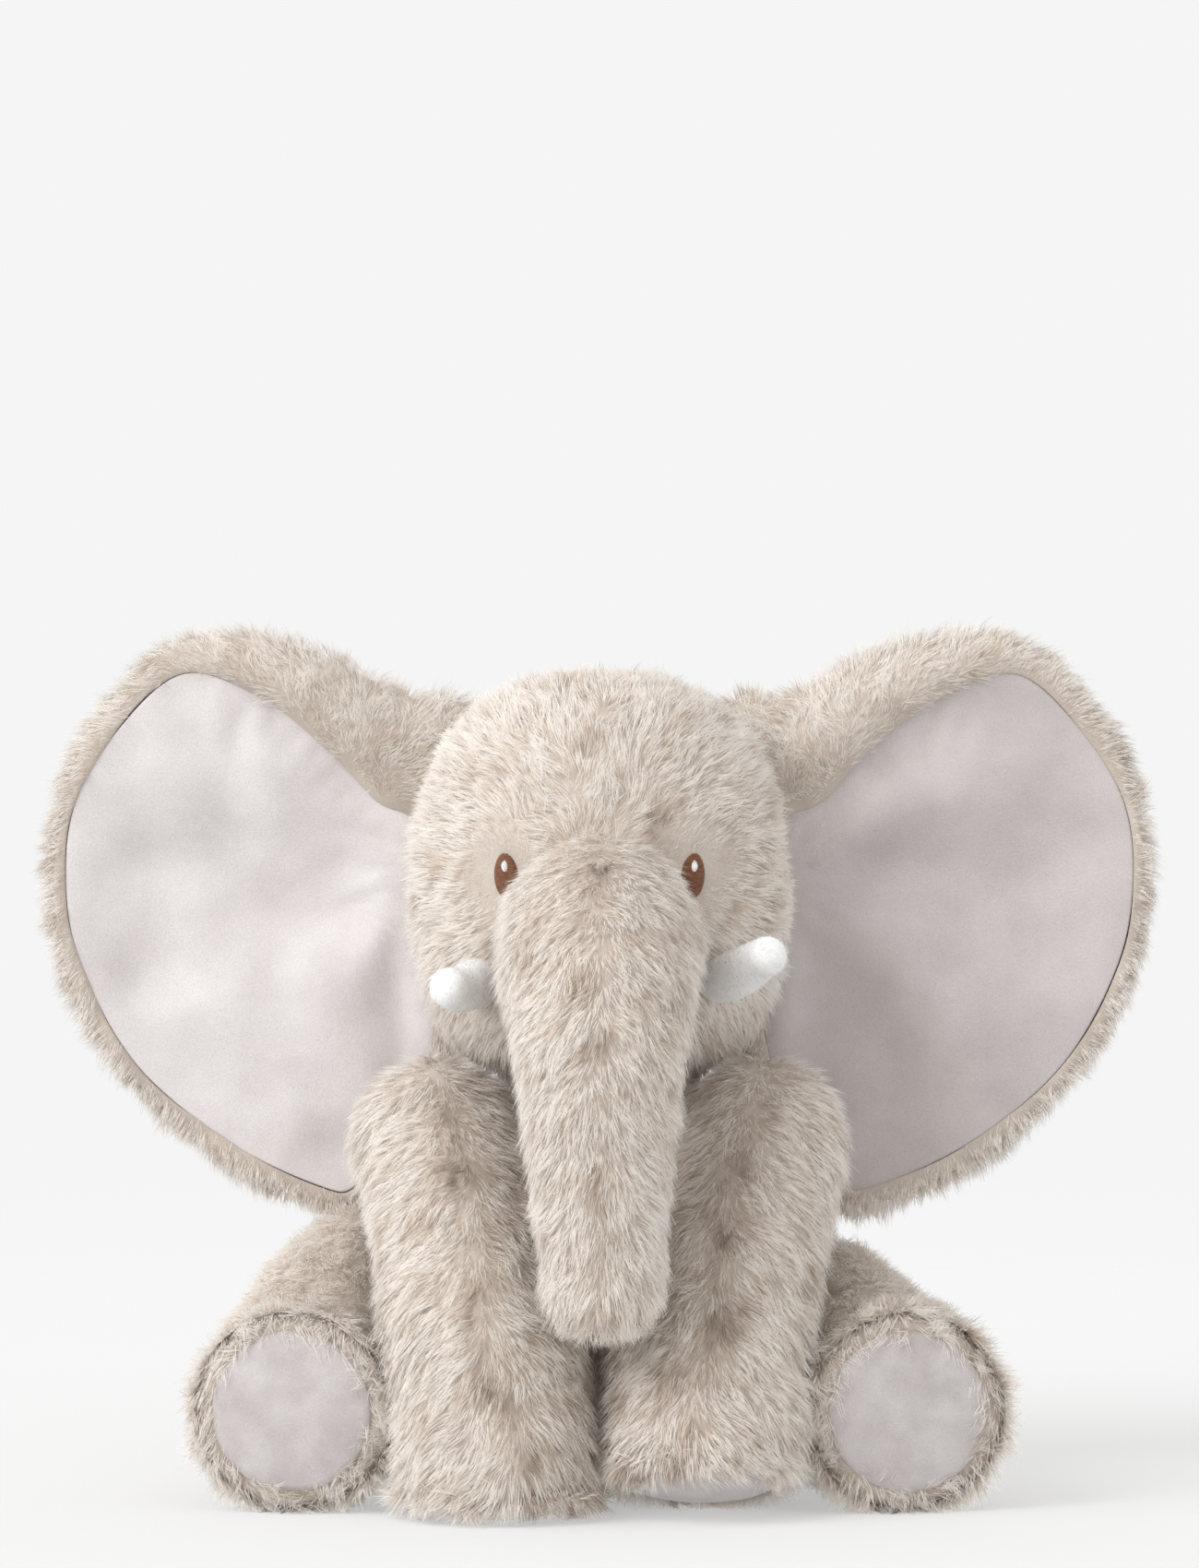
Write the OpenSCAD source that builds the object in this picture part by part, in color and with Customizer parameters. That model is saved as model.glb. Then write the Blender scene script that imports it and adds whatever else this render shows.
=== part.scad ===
// Sitting plush elephant: sewn fur shells over fibre stuffing, velour ear linings and soles.
// +Z is up, the face looks along -Y, and "left" is the toy's own left, on the +X side.
// Soft surfaces lie at the fabric backing; the pile stands a few millimetres outside them.

/* [Body] */
// Half of the torso's greatest width
torso_half_w = 84; // [78:1:88]
// Half of the torso's greatest depth
torso_half_d = 68; // [62:1:70]
// Height of the torso up to the neck opening
torso_h = 137; // [132:1:139]
// Radius of the stuffed neck ball
neck_r = 31; // [24:1:34]

/* [Head] */
// Half of the head's greatest width
head_half_w = 64; // [58:1:65]
// Half of the head's greatest depth
head_half_d = 60; // [54:1:62]
// Height of the top of the head above the floor
head_top = 288; // [280:1:294]
// Height of one embroidered eye
eye_h = 15; // [11:0.5:17]
// Radius of one tusk
tusk_r = 8; // [6:0.5:9]

/* [Trunk] */
// Radius of the round trunk base, set into the face
trunk_base_r = 33; // [28:1:34]
// Half of the trunk's width at its middle
trunk_mid_r = 23; // [20:1:24]
// Half of the trunk's width at its tip
trunk_tip_r = 19; // [16:1:20]

/* [Ears] */
// Thickness of one padded ear
ear_thick = 12; // [9:0.5:14]
// How far the middle of the ear is dished backward
ear_dish = 10; // [4:1:14]

/* [Legs] */
// Half of a front foot's width
front_foot_r = 33; // [28:1:33]
// Half of a hind foot's width
hind_foot_r = 35; // [30:1:36]
// Radius of a hind sole pad
hind_sole_r = 27; // [22:1:28]
// Forward tilt of the raised left front sole, in degrees
raised_sole_tilt = 17; // [8:1:22]

/* [Fabric] */
// Thickness of the fur fabric with its packed pile
skin_t = 4; // [3:0.5:5]
// Gap between a fabric shell and its stuffing
ease = 0.4; // [0.3:0.1:0.8]
// Clearance around a stuffed ball that turns in its seam
turn_gap = 0.8; // [0.6:0.1:1.2]

/* [Hidden] */

LEFT = 1;
RIGHT = -1;
AROUND = 20;        // points round a soft shell
AROUND_SMALL = 12;  // points round a tusk or the tail
CAP_STEPS = 4;      // rings in a round end
UP = [0, 0, 1];
FORWARD = [0, -1, 0];
IN_SKIN = -skin_t - ease;

FUR = [0.78, 0.74, 0.69];
FIBRE = [0.95, 0.95, 0.93];
VELOUR = [0.80, 0.77, 0.77];
IVORY = [0.97, 0.97, 0.96];
BROWN = [0.42, 0.25, 0.17];

// The middle of the depth, so that the toy stands centred on the origin.
depth_shift = 22.76;

// Centres that the soft limbs turn about.
neck_at = [0, -4, 144];
trunk_root = [0, -90, 200];
trunk_bend = [0, -130, 133];
shoulder = [57, -46, 125];
hips = [[64, 6, 50], [74, 6, 60]];       // left, right: the toy sits a little askew
tail_root = [0, 82, 57];

shoulder_r = 28;
hip_r = 38;
bend_r = trunk_mid_r + 1;
tail_r = 6;
sole_t = 2;         // velour sole, domed at its middle
sole_dome = 2.5;

// ---------------------------------------------------------------- curves

function bezier(p, t) = let (s = 1 - t)
    s*s*s * p[0] + 3*s*s*t * p[1] + 3*s*t*t * p[2] + t*t*t * p[3];

function bezier_way(p, t) = let (s = 1 - t)
    unit(s*s * (p[1] - p[0]) + 2*s*t * (p[2] - p[1]) + t*t * (p[3] - p[2]));

function unit(v) = v / norm(v);

// A smooth curve through four neighbouring values, for t from 0 at b to 1 at c.
function through(a, b, c, d, t) =
    b + t/2 * (c - a + t * (2*a - 5*b + 4*c - d + t * (3*b - 3*c + d - a)));

// Row of a table of [at, values...] at x, smoothed between its rows.
function table_row(table, x, i = 0) =
    i >= len(table) - 2 || x <= table[i + 1][0]
    ? let (last = len(table) - 1,
           t = (x - table[i][0]) / (table[i + 1][0] - table[i][0]))
      through(table[max(i - 1, 0)], table[i], table[i + 1], table[min(i + 2, last)], t)
    : table_row(table, x, i + 1);

function side_of(p, side) = [p[0] * side, p[1], p[2]];
function path_of(path, side) = [for (p = path) side_of(p, side)];

// ---------------------------------------------------------------- soft shells

// A ring is [centre, direction, half width, half depth]; a shell is a list of rings with an apex at each end.
function ring_points(ring, ref, around) =
    let (u = unit(cross(ring[1], ref)), v = cross(ring[1], u))
    [for (k = [0 : around - 1]) let (a = 360 * k / around)
        ring[0] + u * ring[2] * cos(a) + v * ring[3] * sin(a)];

module shell(rings, first, last, ref, around) {
    n = len(rings);
    points = concat([first], [for (r = rings) each ring_points(r, ref, around)], [last]);
    function at(i, k) = 1 + i * around + k % around;
    end = n * around + 1;
    polyhedron(points, concat(
        [for (k = [0 : around - 1]) [0, at(0, k), at(0, k + 1)]],
        [for (i = [0 : n - 2], k = [0 : around - 1])
            each [[at(i, k), at(i + 1, k), at(i + 1, k + 1)],
                  [at(i, k), at(i + 1, k + 1), at(i, k + 1)]]],
        [for (k = [0 : around - 1]) [end, at(n - 1, k + 1), at(n - 1, k)]]));
}

// A limb grows out of a ball, follows a curve and ends round or flat.
// sizes is a table of [share of the length, half width, half depth]; grow moves the whole surface outward.
module limb(ball_r, path, sizes, steps, ref, flat_edge = 0, grow = 0, around = AROUND) {
    start = bezier_way(path, 0);
    way = bezier_way(path, 1);
    tip = table_row(sizes, 1);
    ball = [for (i = [1 : CAP_STEPS]) let (a = 90 * i / CAP_STEPS, r = ball_r + grow)
        [path[0] - start * r * cos(a), start, r * sin(a), r * sin(a)]];
    middle = [for (i = [1 : steps]) let (t = i / (steps + 0.5), s = table_row(sizes, t))
        [bezier(path, t), bezier_way(path, t), s[1] + grow, s[2] + grow]];
    end = [for (i = [0 : CAP_STEPS - (flat_edge > 0 ? 0 : 1)])
        let (a = 90 * i / CAP_STEPS,
             e = flat_edge > 0 ? flat_edge : tip[1] + grow,
             x = flat_edge > 0 ? e * (sin(a) - 1) + grow : e * sin(a),
             less = e * (1 - cos(a)))
        [path[3] + way * x, way, tip[1] + grow - less,
         flat_edge > 0 ? tip[2] + grow - less : (tip[2] + grow) * cos(a)]];
    shell(concat(ball, middle, end),
          path[0] - start * (ball_r + grow),
          path[3] + way * (flat_edge > 0 ? grow : tip[1] + grow),
          ref, around);
}

// An upright soft body from a table of [share of the height, half width, half depth] as shares of half_w and half_d,
// with a y for each row where the body leans.
module upright(low, high, table, half_w, half_d, steps, grow = 0, y = 0) {
    rings = [for (i = [0 : steps]) let (t = (1 - cos(180 * i / steps)) / 2, s = table_row(table, t))
        [[0, y + (len(s) > 3 ? s[3] : 0), low - grow + (high - low + 2*grow) * t], UP,
         max(s[1] * half_w + grow, 2), max(s[2] * half_d + grow, 2)]];
    shell(rings, rings[0][0], rings[steps][0], FORWARD, AROUND);
}

// ---------------------------------------------------------------- torso and neck

torso_table = [
    // share of height, half width, half depth, y
    [0.00, 0.70, 0.72, 13], [0.06, 0.87, 0.88, 12], [0.20, 0.98, 0.99, 12], [0.42, 1.00, 1.00, 12],
    [0.62, 0.93, 0.93, 11], [0.80, 0.77, 0.79, 9], [0.93, 0.57, 0.62, 5], [1.00, 0.40, 0.46, 2]];

module torso_form(grow = 0) {
    upright(0, torso_h, torso_table, torso_half_w, torso_half_d, 16, grow);
}

// The balls of the neck and the limbs, which the torso leaves room for.
module torso_sockets() {
    translate(neck_at) sphere(neck_r + turn_gap, $fn = 48);
    for (side = [LEFT, RIGHT]) {
        translate(side_of(shoulder, side)) sphere(shoulder_r + turn_gap, $fn = 48);
        hip_socket(side);
    }
    translate(tail_root) sphere(tail_r + turn_gap, $fn = 48);
}

// The thigh's ball sits in a round socket that runs on forward as a groove.
module hip_socket(side) {
    way = side_of(unit(to_thigh), side);
    r = hip_r + 2 * turn_gap;
    translate(side_of(hip(side), side)) rotate([0, acos(way[2]), atan2(way[1], way[0])])
        rotate_extrude($fn = 48)
            polygon(concat([for (a = [-90 : 10 : 0]) [r * cos(a), r * sin(a)]],
                [[r + 5, 3 * hip_r], [0, 3 * hip_r]]));
}

module torso_skin() {
    color(FUR) difference() {
        torso_form();
        torso_form(-skin_t);
        torso_sockets();
    }
}

module torso_stuffing() {
    color(FIBRE) difference() {
        torso_form(IN_SKIN);
        torso_sockets();
        pouch_form(ease);
    }
}

// The weighted seat bag is a round cushion, as deep as the stuffing round it allows.
pouch_at = [0, 12, 26];
pouch_r = 30;
pouch_half_h = 17;

module pouch_form(grow = 0) {
    translate(pouch_at) rotate_extrude($fn = 48)
        polygon(concat([[0, -pouch_half_h - grow]],
            [for (a = [-75 : 15 : 75]) [(pouch_r + grow) * cos(a), (pouch_half_h + grow) * sin(a)]],
            [[0, pouch_half_h + grow]]));
}

module pellet_pouch() {
    color("white") difference() {
        pouch_form();
        pouch_form(-1);
    }
}

module pellet_fill() {
    color("gainsboro") pouch_form(-1.3);
}

module neck_skin() {
    color(FUR) translate(neck_at) difference() {
        sphere(neck_r, $fn = 48);
        sphere(neck_r - skin_t, $fn = 48);
    }
}

module neck_stuffing() {
    color(FIBRE) translate(neck_at) sphere(neck_r + IN_SKIN, $fn = 48);
}

// ---------------------------------------------------------------- head

head_low = 150;
head_y = -22;
head_table = [
    // share of height, half width, half depth
    [0.00, 0.54, 0.52], [0.06, 0.76, 0.70], [0.20, 0.94, 0.89], [0.40, 1.00, 0.99], [0.56, 0.99, 1.00],
    [0.70, 0.93, 0.95], [0.83, 0.82, 0.84], [0.93, 0.64, 0.66], [0.98, 0.42, 0.44], [1.00, 0.15, 0.15]];

// Distance of the face in front of the head's middle, and the outward turn of its surface.
function head_at(z) = table_row(head_table, (z - head_low) / (head_top - head_low));
function face_depth(x, z) = let (s = head_at(z))
    s[2] * head_half_d * sqrt(1 - pow(x / (s[1] * head_half_w), 2));
function face_turn(x, z) = let (s = head_at(z))
    atan2(x / pow(s[1] * head_half_w, 2), face_depth(x, z) / pow(s[2] * head_half_d, 2));

eye_x = 33;
eye_z = 221;
eye_t = 1.2;
eye_pocket = 1.6;
tusk_root = [40, -58, 184];
tusk_tips = [[58, -94, 194], [52, -92, 183]];   // left, right

module head_form(grow = 0) {
    upright(head_low, head_top, head_table, head_half_w, head_half_d, 16, grow, head_y);
}

module head_sockets() {
    translate(neck_at) sphere(neck_r + turn_gap, $fn = 48);
    translate(trunk_root) sphere(trunk_base_r + turn_gap, $fn = 48);
}

// Places children on the seat of an eye, with +Z out of the face.
module at_eye(side) {
    translate([eye_x * side, head_y - face_depth(eye_x, eye_z), eye_z])
        rotate([90, 0, face_turn(eye_x, eye_z) * side]) translate([0, 0, -eye_pocket]) children();
}

module head_skin() {
    color(FUR) difference() {
        head_form();
        head_form(-skin_t - eye_pocket);
        head_sockets();
        for (side = [LEFT, RIGHT]) {
            at_eye(side) cylinder(h = 10, r = eye_h/2 + 1, $fn = 48);
            tusk_form(side, ease);
        }
    }
}

module head_stuffing() {
    color(FIBRE) difference() {
        head_form(IN_SKIN - eye_pocket);
        head_sockets();
        for (side = [LEFT, RIGHT]) tusk_form(side, ease);
    }
}

module eye(side) {
    color(BROWN) at_eye(side) scale([0.62, 1, 1]) cylinder(h = eye_t, r = eye_h/2, $fn = 48);
}

module eye_highlight(side) {
    color("white") at_eye(side) translate([0, eye_h * 0.2, eye_t])
        scale([0.7, 1, 1]) cylinder(h = 0.5, r = eye_h * 0.16, $fn = 32);
}

module tusk_form(side, grow = 0) {
    tip = side == LEFT ? tusk_tips[0] : tusk_tips[1];
    tusk_path = [tusk_root, tusk_root + [6, -16, -1], tip - [5, -9, 3], tip];
    limb(tusk_r, path_of(tusk_path, side),
         [[0, tusk_r, tusk_r], [0.5, tusk_r, tusk_r], [1, tusk_r * 0.86, tusk_r * 0.86]],
         5, UP, 0, grow, AROUND_SMALL);
}

module tusk(side) {
    color(IVORY) difference() {
        tusk_form(side);
        tusk_form(side, -1.5);
    }
}

module tusk_stuffing(side) {
    color(FIBRE) tusk_form(side, -1.5 - ease);
}

// ---------------------------------------------------------------- trunk

trunk_upper_path = [trunk_root, [0, -119, 190], [0, -131, 170], trunk_bend + [0, 0, 12]];
trunk_lower_path = [trunk_bend, [0, -130, 118], [0.5, -129, 102], [1.5, -130, 85]];

module trunk_upper_form(grow = 0) {
    limb(trunk_base_r, trunk_upper_path,
         [[0, trunk_base_r, trunk_base_r * 0.97], [0.3, trunk_base_r * 0.95, trunk_base_r * 0.9],
          [0.7, trunk_mid_r + 4, trunk_mid_r + 2], [1, bend_r + 0.5, bend_r + 0.5]],
         7, FORWARD + [0, 0, 0.3], 1, grow);
}

module trunk_lower_form(grow = 0) {
    limb(bend_r, trunk_lower_path,
         [[0, bend_r, bend_r], [0.35, trunk_mid_r - 2, trunk_mid_r - 2], [1, trunk_tip_r, trunk_tip_r]],
         6, FORWARD, 0, grow);
}

module trunk_upper_skin() {
    color(FUR) difference() {
        trunk_upper_form();
        trunk_upper_form(-skin_t);
        translate(trunk_bend) sphere(bend_r + turn_gap, $fn = 48);
    }
}

module trunk_upper_stuffing() {
    color(FIBRE) difference() {
        trunk_upper_form(IN_SKIN);
        translate(trunk_bend) sphere(bend_r + turn_gap, $fn = 48);
    }
}

module trunk_lower_skin() {
    color(FUR) difference() {
        trunk_lower_form();
        trunk_lower_form(-skin_t);
    }
}

module trunk_lower_stuffing() {
    color(FIBRE) trunk_lower_form(IN_SKIN);
}

// ---------------------------------------------------------------- ears

// The ear's outline from its upper root over the top, round the outside and back up beside the cheek.
ear_outline = [
    [52, 274], [70, 281.5], [97, 294.5], [126, 302.5], [153, 298], [179.5, 271], [192, 242], [195, 212],
    [189.5, 181], [169.5, 147], [133, 115], [100, 100], [85, 101], [68, 123], [56, 160], [62.5, 213]];
// The lining's border, point for point inside it: the fur is folded forward over its upper inner corner.
lining_outline = [
    [65, 234], [80, 243.5], [98, 263], [122, 281], [148, 289], [170, 271], [186.5, 245], [190.5, 216],
    [185, 185], [165, 149], [133, 122], [100, 106], [87, 106], [71, 126], [59, 161], [65, 203]];
ear_middle = [126, 202];
ear_y = 12;
EAR_FINE = 3;       // smooth steps between two points of the outline
LINED = 0.87;       // typical share of the radius at the lining's border

function rounded(outline) = let (n = len(outline))
    [for (i = [0 : n - 1], j = [0 : EAR_FINE - 1])
        through(outline[(i + n - 1) % n], outline[i],
                outline[(i + 1) % n], outline[(i + 2) % n], j / EAR_FINE)];
ear_round = rounded(ear_outline);
lining_round = rounded(lining_outline);

// A place in the ear: p is [how far out, place across the thickness], where 1 is the lining's border,
// 2 the ear's rim, and the front of the ear is at -1 across. k counts round the outline.
function ear_spot(side, p, k) =
    let (out = p[0] > 1 ? p[0] - 1 : 0,
         at = ear_middle + (lining_round[k] - ear_middle) * min(p[0], 1)
              + (ear_round[k] - lining_round[k]) * out,
         share = LINED * min(p[0], 1) + (1 - LINED) * out)
    [side * at[0], ear_y - ear_dish * share * share + p[1] * ear_thick / 2, at[1]];

// A sheet layer of the ear, whose profile runs from the middle of one face to the middle of the other.
module ear_layer(side, profile) {
    n = len(ear_round);
    m = len(profile);
    points = concat([ear_spot(side, profile[0], 0)],
        [for (i = [1 : m - 2], k = [0 : n - 1]) ear_spot(side, profile[i], k)],
        [ear_spot(side, profile[m - 1], 0)]);
    function id(i, k) = 1 + (i - 1) * n + k % n;
    faces = concat(
        [for (k = [0 : n - 1]) [0, id(1, k + 1), id(1, k)]],
        [for (i = [1 : m - 3], k = [0 : n - 1])
            each [[id(i, k), id(i, k + 1), id(i + 1, k + 1)],
                  [id(i, k), id(i + 1, k + 1), id(i + 1, k)]]],
        [for (k = [0 : n - 1]) [len(points) - 1, id(m - 2, k), id(m - 2, k + 1)]]);
    polyhedron(points, side > 0 ? faces : [for (f = faces) [f[0], f[2], f[1]]]);
}

// Fur back, turned over the rim onto the front as a border.
module ear_back(side) {
    color(FUR) ear_layer(side, [
        [0, 1], [0.6, 1], [1, 0.85], [1.6, 0.6], [2, 0], [1.75, -0.65], [1.08, -0.95],
        [1.08, -0.55], [1.5, -0.35], [1.65, 0], [1.1, 0.35], [0.6, 0.5], [0, 0.5]]);
}

module ear_wadding(side) {
    color(FIBRE) ear_layer(side, [
        [0, 0.4], [0.6, 0.4], [0.98, 0.2], [1.4, 0], [1.25, -0.22], [0.93, -0.4], [0, -0.4]]);
}

module ear_lining(side) {
    color(VELOUR) ear_layer(side, [
        [0, -0.52], [0.97, -0.52], [1, -0.7], [0.98, -0.88], [0.7, -0.96], [0, -0.92]]);
}

// ---------------------------------------------------------------- legs and tail

// The left front foot is a little raised and shows the edge of its sole; the right one stands flat.
raised = [0, -sin(raised_sole_tilt), -cos(raised_sole_tilt)];
sole_r = front_foot_r - 9;
left_sole = [35.5, -104, sole_r * sin(raised_sole_tilt) + sole_t + sole_dome];
right_sole = [35.5, -102, sole_t + sole_dome];
upper_leg = shoulder + [-8, -29, -26];
left_front_path = [shoulder, upper_leg, left_sole - raised * 48, left_sole];
right_front_path = [shoulder, upper_leg, right_sole + UP * 48, right_sole];
front_sizes = [
    [0, 27, 26], [0.3, front_foot_r - 5, 27], [0.65, front_foot_r - 2, front_foot_r - 5],
    [0.85, front_foot_r, front_foot_r - 4], [1, front_foot_r, front_foot_r - 4]];
front_edge = 8;

module front_leg_form(side, grow = 0) {
    path = side == LEFT ? left_front_path : right_front_path;
    limb(shoulder_r, path_of(path, side), front_sizes, 10, FORWARD, front_edge, grow);
}

module front_leg_skin(side) {
    color(FUR) difference() {
        front_leg_form(side);
        front_leg_form(side, -skin_t);
    }
}

module front_leg_stuffing(side) {
    color(FIBRE) front_leg_form(side, IN_SKIN);
}

// A velour sole: a disc with a domed face. +Z is out of the foot.
module sole(r) {
    rotate_extrude($fn = 48)
        polygon(concat([[0, 0], [r, 0]],
            [for (a = [0 : 15 : 75]) [r * cos(a), sole_t + sole_dome * sin(a)]],
            [[0, sole_t + sole_dome]]));
}

module front_sole(side) {
    at = side == LEFT ? left_sole : right_sole;
    tilt = side == LEFT ? raised_sole_tilt : 0;
    color(VELOUR) translate(side_of(at, side)) rotate([180 - tilt, 0, 0])
        sole(sole_r);
}

hind_sole_at = [107, -92, 35.5];
hind_way = unit([0.16, -1, 0.03]);
to_thigh = [20, -31, -6];
hind_sizes = [
    [0, hip_r - 1, hip_r], [0.3, hip_r - 4, hip_r], [0.65, hind_foot_r - 1, hind_foot_r - 1],
    [0.85, hind_foot_r, hind_foot_r - 0.8], [1, hind_foot_r, hind_foot_r - 0.8]];
hind_edge = 9;

function hip(side) = side == LEFT ? hips[0] : hips[1];

module hind_leg_form(side, grow = 0) {
    path = [hip(side), hip(side) + to_thigh, hind_sole_at - hind_way * 30, hind_sole_at];
    limb(hip_r, path_of(path, side), hind_sizes, 8, UP, hind_edge, grow);
}

module hind_leg_skin(side) {
    color(FUR) difference() {
        hind_leg_form(side);
        hind_leg_form(side, -skin_t);
    }
}

module hind_leg_stuffing(side) {
    color(FIBRE) hind_leg_form(side, IN_SKIN);
}

module hind_sole(side) {
    turn = atan2(hind_way[0], -hind_way[1]) * side;
    lift = asin(hind_way[2]);
    color(VELOUR) translate(side_of(hind_sole_at, side)) rotate([90 - lift, 0, turn])
        sole(hind_sole_r);
}

tail_path = [tail_root, tail_root + [0, 16, 0], tail_root + [0, 19, -14], tail_root + [0, 19, -34]];
tuft_path = [tail_path[3], tail_path[3] - UP * 6, tail_path[3] - UP * 11, tail_path[3] - UP * 15];

module tail_cord() {
    color(FUR) difference() {
        limb(tail_r, tail_path, [[0, tail_r, tail_r], [1, tail_r - 1, tail_r - 1]], 6, [1, 0, 0],
             0, 0, AROUND_SMALL);
        tuft_form(ease);
    }
}

module tuft_form(grow = 0) {
    limb(5, tuft_path, [[0, 5, 5], [0.4, 8, 8], [1, 6, 6]], 4, FORWARD, 0, grow, AROUND_SMALL);
}

module tail_tuft() {
    color(FUR) tuft_form();
}

// ---------------------------------------------------------------- the nodes

translate([0, depth_shift, 0]) {
    torso_skin();
    torso_stuffing();
    pellet_pouch();
    pellet_fill();
    neck_skin();
    neck_stuffing();
    head_skin();
    head_stuffing();
    eye(LEFT);  // eye_left
    eye(RIGHT);  // eye_right
    eye_highlight(LEFT);  // eye_highlight_left
    eye_highlight(RIGHT);  // eye_highlight_right
    tusk(LEFT);  // tusk_left
    tusk(RIGHT);  // tusk_right
    tusk_stuffing(LEFT);  // tusk_stuffing_left
    tusk_stuffing(RIGHT);  // tusk_stuffing_right
    trunk_upper_skin();
    trunk_upper_stuffing();
    trunk_lower_skin();
    trunk_lower_stuffing();
    ear_back(LEFT);  // ear_back_left
    ear_wadding(LEFT);  // ear_wadding_left
    ear_lining(LEFT);  // ear_lining_left
    ear_back(RIGHT);  // ear_back_right
    ear_wadding(RIGHT);  // ear_wadding_right
    ear_lining(RIGHT);  // ear_lining_right
    front_leg_skin(LEFT);  // front_leg_skin_left
    front_leg_stuffing(LEFT);  // front_leg_stuffing_left
    front_sole(LEFT);  // front_sole_left
    front_leg_skin(RIGHT);  // front_leg_skin_right
    front_leg_stuffing(RIGHT);  // front_leg_stuffing_right
    front_sole(RIGHT);  // front_sole_right
    hind_leg_skin(LEFT);  // hind_leg_skin_left
    hind_leg_stuffing(LEFT);  // hind_leg_stuffing_left
    hind_sole(LEFT);  // hind_sole_left
    hind_leg_skin(RIGHT);  // hind_leg_skin_right
    hind_leg_stuffing(RIGHT);  // hind_leg_stuffing_right
    hind_sole(RIGHT);  // hind_sole_right
    tail_cord();
    tail_tuft();
}
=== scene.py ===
"""Sitting plush elephant: long-pile fur, velour ear linings and soles, embroidered eyes.

The left side is the toy's own left, on +X. Shapes are worked out in millimetres and stored in metres.
"""

import math

import bpy
import numpy as np
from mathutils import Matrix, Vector
from mathutils.bvhtree import BVHTree


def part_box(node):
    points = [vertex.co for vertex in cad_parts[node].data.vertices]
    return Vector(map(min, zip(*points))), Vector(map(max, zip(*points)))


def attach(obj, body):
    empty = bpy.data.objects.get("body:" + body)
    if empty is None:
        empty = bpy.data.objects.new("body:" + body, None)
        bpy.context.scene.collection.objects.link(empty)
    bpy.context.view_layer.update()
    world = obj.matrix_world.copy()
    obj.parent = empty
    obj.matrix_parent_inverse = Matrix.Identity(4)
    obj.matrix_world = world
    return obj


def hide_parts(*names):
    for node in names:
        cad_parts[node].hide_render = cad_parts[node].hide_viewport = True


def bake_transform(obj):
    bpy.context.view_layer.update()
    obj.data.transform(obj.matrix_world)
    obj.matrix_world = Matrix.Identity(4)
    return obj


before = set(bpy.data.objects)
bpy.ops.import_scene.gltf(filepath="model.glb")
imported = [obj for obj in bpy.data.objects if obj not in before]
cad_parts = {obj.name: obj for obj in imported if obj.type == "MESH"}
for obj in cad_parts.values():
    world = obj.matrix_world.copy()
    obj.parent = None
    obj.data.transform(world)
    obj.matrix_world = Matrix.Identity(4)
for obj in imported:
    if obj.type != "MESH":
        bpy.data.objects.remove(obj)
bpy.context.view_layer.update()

MM = 0.001
UP = np.array([0.0, 0.0, 1.0])
FRONT = np.array([0.0, -1.0, 0.0])
SIDES = (("left", 1), ("right", -1))

# ---------------------------------------------------------------- vectors and curves


def unit(v):
    v = np.asarray(v, float)
    return v / np.maximum(np.linalg.norm(v, axis=-1, keepdims=True), 1e-9)


def dot(a, b):
    return np.sum(a * b, axis=-1, keepdims=True)


def smooth(lo, hi, x):
    t = np.clip((np.asarray(x, float) - lo) / (hi - lo), 0, 1)
    return t * t * (3 - 2 * t)


def through(a, b, c, d, t):
    return b + t / 2 * (c - a + t * (2 * a - 5 * b + 4 * c - d + t * (3 * b - 3 * c + d - a)))


def row_at(table, x):
    """A row of a table of [at, values...] at x, smoothed between its rows."""
    table = np.asarray(table, float)
    last = len(table) - 1
    i = int(np.clip(np.searchsorted(table[:, 0], x) - 1, 0, last - 1))
    t = (x - table[i, 0]) / (table[i + 1, 0] - table[i, 0])
    rows = [table[max(i - 1, 0)], table[i], table[i + 1], table[min(i + 2, last)]]
    return through(*rows, t)


def bezier(p, t):
    s = 1 - t
    return s**3 * p[0] + 3 * s * s * t * p[1] + 3 * s * t * t * p[2] + t**3 * p[3]


def bezier_way(p, t):
    s = 1 - t
    return unit(s * s * (p[1] - p[0]) + 2 * s * t * (p[2] - p[1]) + t * t * (p[3] - p[2]))


def closed_curve(points, fine):
    """A smooth closed curve through the points, with fine steps between two of them."""
    p = np.asarray(points, float)
    n = len(p)
    steps = [through(p[i - 1], p[i], p[(i + 1) % n], p[(i + 2) % n], j / fine)
             for i in range(n) for j in range(fine)]
    return np.array(steps)


def ripples(p, wavelength, seed):
    """Smooth, seeded, wavy noise from about -1 to 1 at points p, in millimetres."""
    rng = np.random.default_rng(seed)
    total = np.zeros(len(p))
    for _ in range(7):
        way = unit(rng.normal(size=3)) * 2 * math.pi / (wavelength * rng.uniform(0.7, 1.5))
        total += np.sin(p @ way + rng.uniform(0, 2 * math.pi))
    return total / 3.2


def centre_mm(node):
    lo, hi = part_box(node)
    return np.array((lo + hi) / 2) / MM


# The CAD source is drawn about its own middle and then moved back by this much.
SHIFT = centre_mm("neck_skin") - np.array([0, -4, 144])


def at(x, y, z):
    return np.array([x, y, z], float) + SHIFT


def mirrored(points, side):
    return np.asarray(points, float) * np.array([side, 1, 1])


# ---------------------------------------------------------------- meshes


def make_mesh(name, verts_mm, faces):
    mesh = bpy.data.meshes.new(name)
    mesh.from_pydata([tuple(v) for v in np.asarray(verts_mm) * MM], [], faces)
    mesh.update()
    mesh.shade_smooth()
    obj = bpy.data.objects.new(name, mesh)
    bpy.context.scene.collection.objects.link(obj)
    return obj


def verts_of(obj):
    co = np.zeros(len(obj.data.vertices) * 3, np.float32)
    obj.data.vertices.foreach_get("co", co)
    return co.reshape(-1, 3).astype(float) / MM


def set_verts(obj, co_mm):
    obj.data.vertices.foreach_set("co", (co_mm * MM).astype(np.float32).ravel())
    obj.data.update()


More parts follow.
